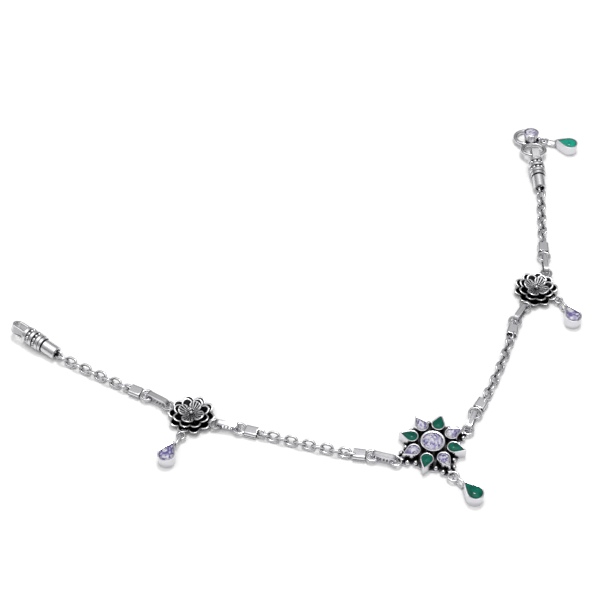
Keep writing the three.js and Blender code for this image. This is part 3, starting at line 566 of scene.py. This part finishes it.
def add_oblong(number, lug, leg):
    heading, reach, roll = leg
    span = OBLONG - BAND_WALL
    middle = step(lug, heading, span / 2 + 0.4 * (reach - span))
    turn = math.radians(roll)
    middle.z = OBLONG_WIDTH / 2 * math.sin(turn) + BAND / 2 * abs(math.cos(turn))
    name = f"oblong_link_{number}"
    finished(name + "_strip", oblong_parts(), [name], place=place_at(middle, heading, roll))


# %% [markdown]
# ## Settings and cut stones
# A setting is a strip of silver bent round the stone and burnished over its edge. The cut stones
# are convex, so a hull over their corner points gives the facets, as a cutter grinds them. The
# polished ones are stacked up from their outline, like the settings.

# %% Setting, its size being half width, top and wall
SEAT_DROP = 0.25


def cup(outline, size, flare=0.0):
    half_width, top, wall = size
    girdle = top - SEAT_DROP
    return stacked(outline, half_width, [
        (0.0, flare + 0.08), (0.08, flare), (top - 0.2, 0.0), (top - 0.06, 0.03), (top, 0.14),
        (top - 0.03, wall - 0.1), (top - 0.14, wall - 0.02, -0.6), (girdle, wall - 0.05, BLACK),
        (girdle - 0.6, wall + 0.1, BLACK), (girdle - 1.2, half_width * 0.6, BLACK)])


# %% Cut and polished stones
def hull_stone(rings):
    bm = bmesh.new()
    for points, scale, z in rings:
        for p in points:
            bm.verts.new((p.x * scale, p.y * scale, z))
    made = bmesh.ops.convex_hull(bm, input=bm.verts)
    loose = [v for v in made["geom_interior"] + made["geom_unused"] if isinstance(v, bmesh.types.BMVert)]
    bmesh.ops.delete(bm, geom=list(set(loose)), context="VERTS")
    bmesh.ops.dissolve_limit(bm, angle_limit=math.radians(1), verts=bm.verts, edges=bm.edges)
    bmesh.ops.recalc_face_normals(bm, faces=bm.faces)
    return bm


def every(points, count, shift=0.0):
    total = len(points)
    tip = min(range(total), key=lambda i: points[i].x)
    return [points[(tip + round((i + shift) * total / count)) % total] for i in range(count)]


def cut_stone(outline, size, count):
    half_width, top, wall = size
    girdle = top - SEAT_DROP
    share = (half_width - wall) / half_width
    base = girdle - 0.15
    half = count // 2
    return hull_stone([
        (every(outline, count), share, girdle), (every(outline, count), share, base),
        (every(outline, half, 0.5), share * 0.86, girdle + 0.3),
        (every(outline, half), share * 0.6, girdle + 0.5),
        (every(outline, half, 0.5), share * 0.5, base - 0.7), (every(outline, 4), 0.05, base - 1.45)])


def polished_stone(outline, size):
    half_width, top, wall = size
    girdle = top - SEAT_DROP
    dome = ((0.14, 0.07), (0.28, 0.18), (0.4, 0.34), (0.47, 0.5), (0.5, 0.68))
    levels = [(girdle - 1.65, half_width * 0.9), (girdle - 0.15, wall), (girdle, wall)]
    levels += [(girdle + rise, wall + share * half_width) for rise, share in dome]
    return stacked(outline, half_width, levels)


def add_stone(name, stands_for, outline, size, material, place, seat=STILL, facets=0):
    shape = cut_stone(outline, size, facets) if facets else polished_stone(outline, size)
    slot, smooth = ("clear_stone", 1) if facets else ("green_stone", 30)
    finished(name, [moved(shape, seat)], [stands_for], [material], smooth, place)


# %% [markdown]
# ## Centre flower
# A blackened plate carries a round setting, eight pear settings and small granules, all soldered
# at once. Three rings on short tabs take the chain on both sides and the drop in front.

# %% Soldered rings and flat discs
def lug_parts(radius, heading, diameter, root):
    end = radius - diameter / 2 + LUG_WIRE / 2
    turn = Matrix.Rotation(math.radians(heading), 4, "Z")
    tab = moved(bar((end - root, TAB_WIDTH, TAB_HEIGHT), ((end + root) / 2, 0, AXIS)), turn)
    ring = wire_loop(diameter, diameter, LUG_WIRE)
    return [(tab, 0), (moved(ring, turn @ Matrix.Translation((radius, 0, AXIS))), 0)]


def disc(radius, inset, steps, high=0.8, edge=0.1):
    rim = [(0, radius - inset), (edge, radius), (high - edge, radius), (high, radius - inset)]
    return moved(turned([(0, 0)] + rim + [(high, 0)], steps), UPRIGHT)


# %% Flower
FLOWER_TURN, PEARS = 27, 8
PEAR_LENGTH, PEAR_WIDTH, PEAR_START = 5.0, 3.45, 3.7
PEAR_SIZE = (PEAR_WIDTH / 2, 3.2, 0.38)
ROUND_WIDTH = 6.2
ROUND_SIZE = (ROUND_WIDTH / 2, 3.4, 0.6)
PLATE_RADIUS, FOOT_RADIUS, FOOT_PLACE = 7.3, 2.04, 7.6
NOTCH_GRANULE, NOTCH_PLACE, NOTCH_Z = 1.3, 6.75, 1.25
FLANK_GRANULE, FLANK_PLACE, FLANK_Z, FLANK_SPREAD = 1.35, 8.2, 1.2, 11
FLOWER_TAB_ROOT = 8.3
CENTRE_DROP_LUG = 297


def pear_place(i):
    heading = FLOWER_TURN + 360 / PEARS * i
    return place_at(step(CENTRE, heading, PEAR_START + PEAR_WIDTH / 2), heading + 180)


def flower_parts():
    parts = [(disc(PLATE_RADIUS, 0.1, 48), 1), (cup(round_outline(ROUND_WIDTH), ROUND_SIZE), 0)]
    for i in range(PEARS):
        parts.append((moved(cup(pear_outline(PEAR_LENGTH, PEAR_WIDTH), PEAR_SIZE), pear_place(i)), 0))
        between = FLOWER_TURN + 360 / PEARS * (i + 0.5)
        parts.append((ball(NOTCH_GRANULE, step(Vector((0, 0, NOTCH_Z)), between, NOTCH_PLACE)), 0))
    for heading in (LEFT["lug"], RIGHT["lug"], CENTRE_DROP_LUG):
        parts += lug_parts(FLOWER_LUG, heading, LUG, FLOWER_TAB_ROOT)
        foot = disc(FOOT_RADIUS, 0.09, 24)
        parts.append((moved(foot, Matrix.Translation(step(CENTRE, heading, FOOT_PLACE))), 1))
        for side in (-FLANK_SPREAD, FLANK_SPREAD):
            parts.append((ball(FLANK_GRANULE, step(Vector((0, 0, FLANK_Z)), heading + side, FLANK_PLACE)), 0))
    return parts


finished("flower_settings", flower_parts(), ["centre_flower"], [ANTIQUED, BLACKENED])
add_stone("flower_centre_brilliant", "flower_stone_centre", round_outline(ROUND_WIDTH, 48), ROUND_SIZE,
          ZIRCONIA, STILL, facets=16)
for i in range(PEARS):
    kind, material, facets = ("green", ONYX, 0) if i % 2 else ("clear", ZIRCONIA, 12)
    name = f"flower_{kind}_{i // 2 + 1}"
    add_stone(name + "_cut", name, pear_outline(PEAR_LENGTH, PEAR_WIDTH), PEAR_SIZE, material, pear_place(i),
              facets=facets)

# %% [markdown]
# ## Rosettes
# The rosettes are cast: an outer tier of ten cupped petals, a middle tier of eight, four ribbed
# petals on top and a ball in the middle. A petal could be a bent grid, but a turned disc closes
# its own rim. It is dished, drawn out to a leaf and bent up, and then repeated round the tier.

# %% Petal sizes
# The profile's first part is a share of the dish, the rest is the rolled lip
PETAL_TOP = [(-1.0, 0.0), (-0.97, 0.14), (-0.86, 0.28), (-0.68, 0.4), (-0.44, 0.52), (-0.16, 0.62)]
PETAL_LIP = [(0.0, 0.7), (0.04, 0.78), (0.02, 0.87), (-0.07, 0.95), (-0.22, 1.0), (-0.36, 0.975),
             (-0.44, 0.92)]
PETAL_THICK = 0.46
RIB_DEPTH, RIB_FAN, RIB_FINENESS = 0.2, 32, 0.05
OUTER_TIER = dict(count=10, root=2.4, tip=6.05, width=3.1, root_z=0.85, tip_z=1.8, dish=0.5, curl=0.6)
MIDDLE_TIER = dict(count=8, root=1.5, tip=4.8, width=3.0, root_z=1.45, tip_z=2.5, dish=0.45, curl=0.6)
TOP_TIER = dict(count=4, root=0.3, tip=3.5, width=3.4, root_z=2.0, tip_z=3.05, dish=0.12, curl=0.35, ribs=5)
CORE = [(0, 0), (0, 2.6), (0.5, 3.7), (0.7, 3.7), (1.4, 2.0), (2.0, 0.9), (2.0, 0)]
CENTRE_BALL, CENTRE_BALL_Z, ROSETTE_TAB_ROOT = 1.1, 2.35, 3.9
print("petals on a rosette:", OUTER_TIER["count"] + MIDDLE_TIER["count"] + TOP_TIER["count"])


# %% Petals
def finer(profile, gap):
    fine = [profile[0]]
    for (z0, r0), (z1, r1) in zip(profile, profile[1:]):
        count = max(1, round(abs(r1 - r0) / gap))
        fine += [(z0 + (z1 - z0) * i / count, r0 + (r1 - r0) * i / count) for i in range(1, count + 1)]
    return fine


def petal(root, tip, width, root_z, tip_z, dish, curl, ribs=0):
    profile = [(share * dish, r) for share, r in PETAL_TOP] + PETAL_LIP
    profile += [(-PETAL_THICK - 0.5 * dish, 0.6), (-PETAL_THICK - dish, 0.0)]
    if ribs:
        profile = finer(profile, RIB_FINENESS)
    bm = moved(turned(profile, 96 if ribs else 40), UPRIGHT)
    worn = bm.verts.layers.float["worn"]
    inner, waist = (0.88, 0.4) if ribs else (0.72, 0.55)
    for vert in bm.verts:
        across, up, along = vert.co.y, vert.co.z, vert.co.x
        out = math.hypot(along, across)
        share = (along + 1) / 2
        on_top = up > -dish - 0.1 and out < inner
        vert[worn] = -0.8 if on_top or up < -0.3 else 0.9
        if ribs and on_top:
            fan = math.atan2(across, along + 1.4) / math.radians(RIB_FAN)
            fade = min(1.0, (inner - out) * 6)
            groove = fade * (0.5 - 0.5 * math.cos(math.pi * ribs * fan)) ** 1.5
            up -= RIB_DEPTH * groove
            vert[worn] = 0.9 - 2.2 * groove
        narrow = waist + (1 - waist) * math.sin(math.pi / 2 * min(1.0, share * 1.4))
        rise = root_z + (tip_z - root_z) * share + curl * (share ** 2 - share)
        high = rise + up + 0.25 * curl * across ** 2
        vert.co = (root + (tip - root) * share, across * narrow * width / 2, high)
    bmesh.ops.recalc_face_normals(bm, faces=bm.faces)
    return bm


def ring_of_petals(turn, count, **size):
    turns = [FULL_TURN * i / count + math.radians(turn) for i in range(count)]
    return [(moved(petal(**size), Matrix.Rotation(angle, 4, "Z")), 0) for angle in turns]


# %% Rosette
def add_rosette(name, point, heading, drop_heading):
    parts = [(moved(turned(CORE, 28), UPRIGHT), 1)]
    parts += ring_of_petals(heading + 180 / OUTER_TIER["count"], **OUTER_TIER)
    parts += ring_of_petals(heading, **MIDDLE_TIER)
    parts += ring_of_petals(heading, **TOP_TIER)
    parts.append((ball(CENTRE_BALL, (0, 0, CENTRE_BALL_Z), 18, 1.0), 0))
    for way, diameter in ((heading, LUG), (heading + 180, LUG), (drop_heading, DROP_LUG)):
        parts += lug_parts(ROSETTE_LUG, way, diameter, ROSETTE_TAB_ROOT)
    seat = Matrix.Translation((point.x, point.y, 0))
    finished(name + "_petals", parts, [name], [CAST, BLACKENED], place=seat)


# %% [markdown]
# ## Drops
# A drop is a pear setting with a long wire bail soldered to its tip. The bail passes through the
# ring that the drop hangs on, and the setting lies on its back on the table.

# %% Drops
BAIL, BAIL_WIDTH, BAIL_WIRE, BAIL_OVERLAP, BAIL_LEAN = 4.1, 2.2, 0.6, 0.55, 68
DROP_LENGTH, DROP_WIDTH = 6.5, 4.4
DROP_SIZE = (DROP_WIDTH / 2, 3.3, 0.42)
DROP_CENTRE = BAIL - BAIL_WIRE / 2 - BAIL_OVERLAP + DROP_LENGTH - DROP_WIDTH / 2


def add_drop(name, point, heading, green=None):
    spot = place_at(point, heading)
    outline = pear_outline(DROP_LENGTH, DROP_WIDTH, 28, 8)
    seat = Matrix.Translation((DROP_CENTRE, 0, -point.z))
    hung = Matrix.Translation(((BAIL - BAIL_WIRE) / 2, 0, 0)) @ rolled(BAIL_LEAN)
    bail = moved(wire_loop(BAIL, BAIL_WIDTH, BAIL_WIRE), hung)
    finished(name + "_setting", [moved(cup(outline, DROP_SIZE), seat), bail], [name], place=spot)
    add_stone(name + "_stone_cut", name + "_stone", outline, DROP_SIZE, green or ZIRCONIA_DARKER_FLASHES, spot, seat,
              facets=0 if green else 14)


print("a drop reaches", round(DROP_CENTRE + DROP_WIDTH / 2, 2), "mm from its ring")

# %% [markdown]
# ## End caps
# The caps are turned: a plain sleeve, then a barrel of four bands with two rows of beads between
# them. A flat strip bent to a U makes the eye. The grooves stay black, and the caps are brushed,
# not mirror bright.

# %% Cap
def barrel_parts():
    profile, beads = [], []
    x, floor = CAP_FRONT, GROOVE / 2
    for row, share in enumerate(BAND_SHARES):
        r = share * BARREL / 2
        profile += [(x, r - 0.1), (x + 0.1, r), (x + BAND_LENGTH - 0.1, r), (x + BAND_LENGTH, r - 0.1),
                    (x + BAND_LENGTH, floor, BLACK)]
        x += BAND_LENGTH
        if row in (1, 2):
            for i in range(BEADS):
                turn = FULL_TURN * (i + 0.5 * row) / BEADS
                spot = (x + BEAD_ROW / 2, BEAD_RADIUS * math.cos(turn), BEAD_RADIUS * math.sin(turn))
                beads.append(ball(BEAD, spot, 12, 0.6))
            profile.append((x + BEAD_ROW, floor, BLACK))
            x += BEAD_ROW
    return profile + [(x, 2.02), (x + NOSE / 2, 2.0), (x + NOSE, 1.85), (x + NOSE, 0)], beads


def cap_eye(roll):
    half, wall, soft = EYE_BAND / 2, EYE_WALL / 2, 0.1
    section = [(-wall, -half + soft), (-wall, half - soft), (-wall + soft, half), (wall - soft, half),
               (wall, half - soft), (wall, -half + soft), (wall - soft, -half), (-wall + soft, -half)]
    length = EYE + NOSE + EYE_HIDDEN
    eye = section_loop(section, EYE_WIDTH / 2 - wall, (length - EYE_WIDTH) / 2, 32)
    return moved(eye, rolled(roll) @ Matrix.Translation((CAP_LENGTH - length / 2, 0, 0)))


def cap_parts(eye_roll, pin_roll):
    depth = PIN_DEPTH + PIN / 2 + END_WIRE + 0.25
    bore, sleeve, neck = BORE / 2, SLEEVE / 2, CAP_NECK / 2
    front = [(depth, 0, BLACK), (depth, bore, BLACK), (0.1, bore, BLACK), (0, bore + 0.08), (0, sleeve - 0.1),
             (0.1, sleeve), (SLEEVE_LENGTH - 0.1, sleeve), (SLEEVE_LENGTH, sleeve - 0.08),
             (SLEEVE_LENGTH, neck, BLACK), (CAP_FRONT, neck, BLACK)]
    barrel, beads = barrel_parts()
    long, thick = PIN_LENGTH / 2, PIN / 2
    pin = turned([(-long, 0), (-long, thick), (long, thick), (long, 0)], 12)
    across = Matrix.Translation((PIN_DEPTH, 0, 0)) @ Matrix.Rotation(math.pi / 2, 4, "Y")
    return [turned(front + barrel, 48), cap_eye(eye_roll), moved(pin, rolled(pin_roll) @ across)] + beads


# %% [markdown]
# ## The two strands
# Each strand starts at a ring of the flower: an oblong link, a crimp, a chain, a crimp, an oblong
# link, the rosette with its drop, an oblong link, a crimp, a chain and the cap. One function lays
# both, so what is mended on one side is mended on the other.

# %% Strand: everything from the flower's ring to the cap
def add_strand(side):
    first_number, second_number, third_number = side["numbers"]
    lug = step(Vector((0, 0, AXIS)), side["lug"], FLOWER_LUG)
    add_oblong(first_number, lug, side["to_crimp"])
    ring = step(lug, side["to_crimp"][0], side["to_crimp"][1])
    add_crimp(first_number, ring, side["out"][0], link_roll(side["chain"], 0))
    frames = run_frames(step(ring, side["out"][0], CRIMP_REACH + side["out"][1]), side["chain"])
    add_chain(f"chain_{side['chains'][0]}", frames)
    last = frames[-1]
    ring = step(last[0], side["inward"][0], CRIMP_REACH + side["inward"][1])
    add_crimp(second_number, ring, side["inward"][0] + 180, -last[2])
    heading, reach, roll = side["to_rosette"]
    near = step(ring, heading, reach)
    add_oblong(second_number, near, (heading + 180, reach, roll))
    middle = step(near, side["rosette"], ROSETTE_LUG)
    add_rosette("rosette_" + side["label"], middle, side["rosette"], side["drop"][0])
    add_drop("drop_" + side["label"], step(middle, side["drop"][0], ROSETTE_LUG), side["drop"][1])
    far = step(middle, side["rosette"], ROSETTE_LUG)
    add_oblong(third_number, far, side["to_end"])
    ring = step(far, side["to_end"][0], side["to_end"][1])
    add_crimp(third_number, ring, side["end_crimp"][0], link_roll(side["end_chain"], 0))
    return add_end(side, step(ring, side["end_crimp"][0], CRIMP_REACH + side["end_crimp"][1]))


def add_end(side, first):
    run, heading = side["end_chain"], side["cap"][0]
    climb = math.degrees(math.asin((MOUTH_Z - AXIS) / (PITCH + END_PITCH)))
    frames = run_frames(first, run, climb)
    roll = link_roll(run, run[0])
    centre = step(frames[-1][0], heading, END_PITCH, climb)
    end_link = moved(wire_loop(END_LINK, END_WIDTH, END_WIRE), place_at(centre, heading, roll, CAP_TILT))
    add_chain(f"chain_{side['chains'][1]}", frames, [end_link])
    pin_offset = END_LINK / 2 - END_WIRE - GAP - PIN / 2
    mouth = step(centre, heading, pin_offset - PIN_DEPTH, CAP_TILT)
    name = side["cap_name"]
    finished(name + "_turned", cap_parts(side["cap"][1], roll), [name], materials=[BRUSHED],
             place=place_at(mouth, heading, 0, CAP_TILT))
    return mouth


add_strand(LEFT)
HOOK_CAP_MOUTH = add_strand(RIGHT)
add_drop("drop_centre", step(Vector((0, 0, AXIS)), CENTRE_DROP_LUG, FLOWER_LUG), -50, ONYX)

# %% [markdown]
# ## S hook
# One thick wire is bent to a closed loop, which hangs in the cap's eye, and an open arc, which
# takes the eye at the other end. A tall flared setting hides the joint between them.

# %% Hook sizes
HOOK_WIRE, LOOP_LENGTH, LOOP_DEPTH = 1.3, 7.8, 6.8
HOOK_BACK, HOOK_SAG = 2.6, 0.25
ARC, ARC_X, ARC_START, ARC_SWEEP = 3.3, -1.2, 50, 250
ARC_Y = LOOP_DEPTH - 1.5 * HOOK_WIRE + ARC + HOOK_WIRE / 2
HOLDER, HOLDER_X, HOLDER_Y, HOLDER_FLARE = 4.4, -0.3, LOOP_DEPTH - HOOK_WIRE + 1.6, 0.6
HOLDER_SIZE = (HOLDER / 2, 3.7, 0.38)
HOOK_LUG, HOOK_BEAD, HOOK_BEAD_OUT = 3.8, 1.35, 0.34
CLASP_DROP_HEADING = -20
print("hook reaches", round(ARC_Y + ARC, 2), "mm from the cap's eye")


# %% Hook
def hook_loop():
    loop = section_loop(round_section(HOOK_WIRE, 16), (LOOP_LENGTH - HOOK_WIRE) / 2, 0, 40)
    squeeze = (LOOP_DEPTH - HOOK_WIRE) / (LOOP_LENGTH - HOOK_WIRE)
    for vert in loop.verts:
        vert.co.y = vert.co.y * squeeze + (LOOP_DEPTH - HOOK_WIRE) / 2
    return loop


def hook_arc():
    arc = bmesh.new()
    verts = [arc.verts.new((ARC + out, 0, up)) for out, up in round_section(HOOK_WIRE, 16)]
    face = arc.faces.new(verts)
    start = Matrix.Rotation(-math.radians(ARC_START), 3, "Z")
    bmesh.ops.rotate(arc, cent=(0, 0, 0), matrix=start, verts=verts)
    bmesh.ops.spin(arc, geom=[face], cent=(0, 0, 0), axis=(0, 0, 1), angle=-math.radians(ARC_SWEEP), steps=36)
    bmesh.ops.recalc_face_normals(arc, faces=arc.faces)
    end = -math.radians(ARC_START + ARC_SWEEP)
    tip = ball(HOOK_WIRE * 1.12, (ARC_X + ARC * math.cos(end), ARC_Y + ARC * math.sin(end), 0), 16)
    return [moved(arc, Matrix.Translation((ARC_X, ARC_Y, 0))), tip]


def add_hook(mouth, heading):
    origin = step(mouth, heading, CAP_LENGTH - HOOK_BACK, CAP_TILT)
    origin.z -= HOOK_SAG
    fall = math.degrees(math.asin((origin.z - HOOK_WIRE / 2) / (ARC_Y + ARC)))
    spot = place_at(origin, heading, 0, -fall) @ Matrix.Rotation(-math.pi / 2, 4, "Z")
    outline = round_outline(HOLDER, 36)
    seat = Matrix.Translation((HOLDER_X, HOLDER_Y, -HOOK_WIRE / 4))
    holder = moved(cup(outline, HOLDER_SIZE, HOLDER_FLARE), seat)
    ring_place = Vector((HOOK_LUG, HOLDER_Y, 0))
    ring = moved(wire_loop(DROP_LUG, DROP_LUG, LUG_WIRE), Matrix.Translation(ring_place))
    tab_length = HOOK_LUG - HOLDER_X - DROP_LUG / 2 + LUG_WIRE / 2
    tab = bar((tab_length, TAB_WIDTH, TAB_HEIGHT), (HOLDER_X + tab_length / 2, HOLDER_Y, 0))
    bead = ball(HOOK_BEAD, (HOLDER_X + HOLDER / 2 + HOOK_BEAD_OUT, HOLDER_Y, TAB_HEIGHT))
    finished("hook_bent", [hook_loop()] + hook_arc() + [holder, ring, tab, bead], ["s_hook"], place=spot)
    add_stone("hook_brilliant", "s_hook_stone", outline, HOLDER_SIZE, ZIRCONIA, spot, seat, facets=16)
    add_drop("drop_clasp", spot @ ring_place, CLASP_DROP_HEADING, ONYX_PAINTED_LIT)


add_hook(HOOK_CAP_MOUTH, RIGHT["cap"][0])

# %% [markdown]
# ## Table and light
# The photograph was taken on white, with soft light from all round. The sky is dim at the horizon
# and brightest overhead, so that the silver has something to mirror. Two soft boxes fill the
# sides, and one small lamp above adds the sharp highlights. Together they bring the white card
# just up to white: any more would burn out the walls that mirror it.

# %% Floor
floor_bm = bmesh.new()
bmesh.ops.create_grid(floor_bm, x_segments=1, y_segments=1, size=2.0)
floor_mesh = bpy.data.meshes.new("white_table")
floor_bm.to_mesh(floor_mesh)
floor_bm.free()
floor = bpy.data.objects.new("white_table", floor_mesh)
scene.collection.objects.link(floor)
paper = new_material("white_card", Base_Color=linear("#fbfbfb"), Roughness=0.9, Specular_IOR_Level=0.1)[0]
floor_mesh.materials.append(paper)
print("floor", floor.name)

# %% Sky, whose brightness follows the height above the horizon
HORIZON, MIDDLE_SKY, MIDDLE_FROM = 0.06, 0.62, 0.75
OVERHEAD, OVERHEAD_FROM = 1.9, 0.84
sky = bpy.data.worlds.new("soft_room")
scene.world = sky
sky.use_nodes = True
sky_tree = sky.node_tree
backdrop = sky_tree.nodes["Background"]
backdrop.inputs["Color"].default_value = linear("#ffffff")
way = node(sky_tree, "ShaderNodeTexCoord")
height = node(sky_tree, "ShaderNodeSeparateXYZ", {0: way.outputs["Generated"]}).outputs["Z"]
walls = node(sky_tree, "ShaderNodeMapRange", {
    "Value": height, "From Max": MIDDLE_FROM, "To Min": HORIZON, "To Max": MIDDLE_SKY})
top = node(sky_tree, "ShaderNodeMapRange", {"Value": height, "From Min": OVERHEAD_FROM, "To Max": OVERHEAD})
glow = node(sky_tree, "ShaderNodeMath", {0: walls.outputs[0], 1: top.outputs[0]}, operation="ADD")
sky_tree.links.new(glow.outputs[0], backdrop.inputs["Strength"])
print("sky", sky.name)


# %% Lamps
def lamp(name, spot, size, power):
    data = bpy.data.lights.new(name, "AREA")
    data.size = size
    data.energy = power
    made = bpy.data.objects.new(name, data)
    made.location = spot
    made.rotation_euler = (-Vector(spot)).to_track_quat("-Z", "Y").to_euler()
    scene.collection.objects.link(made)
    print(name, power, "W")


lamp("softbox_left", (-0.5, 0.15, 0.6), 0.35, 0.5)
lamp("softbox_right", (0.45, -0.35, 0.7), 0.3, 0.3)
lamp("spot_above", (0.05, 0.25, 0.9), 0.13, 2.4)
scene.view_settings.view_transform = "Standard"
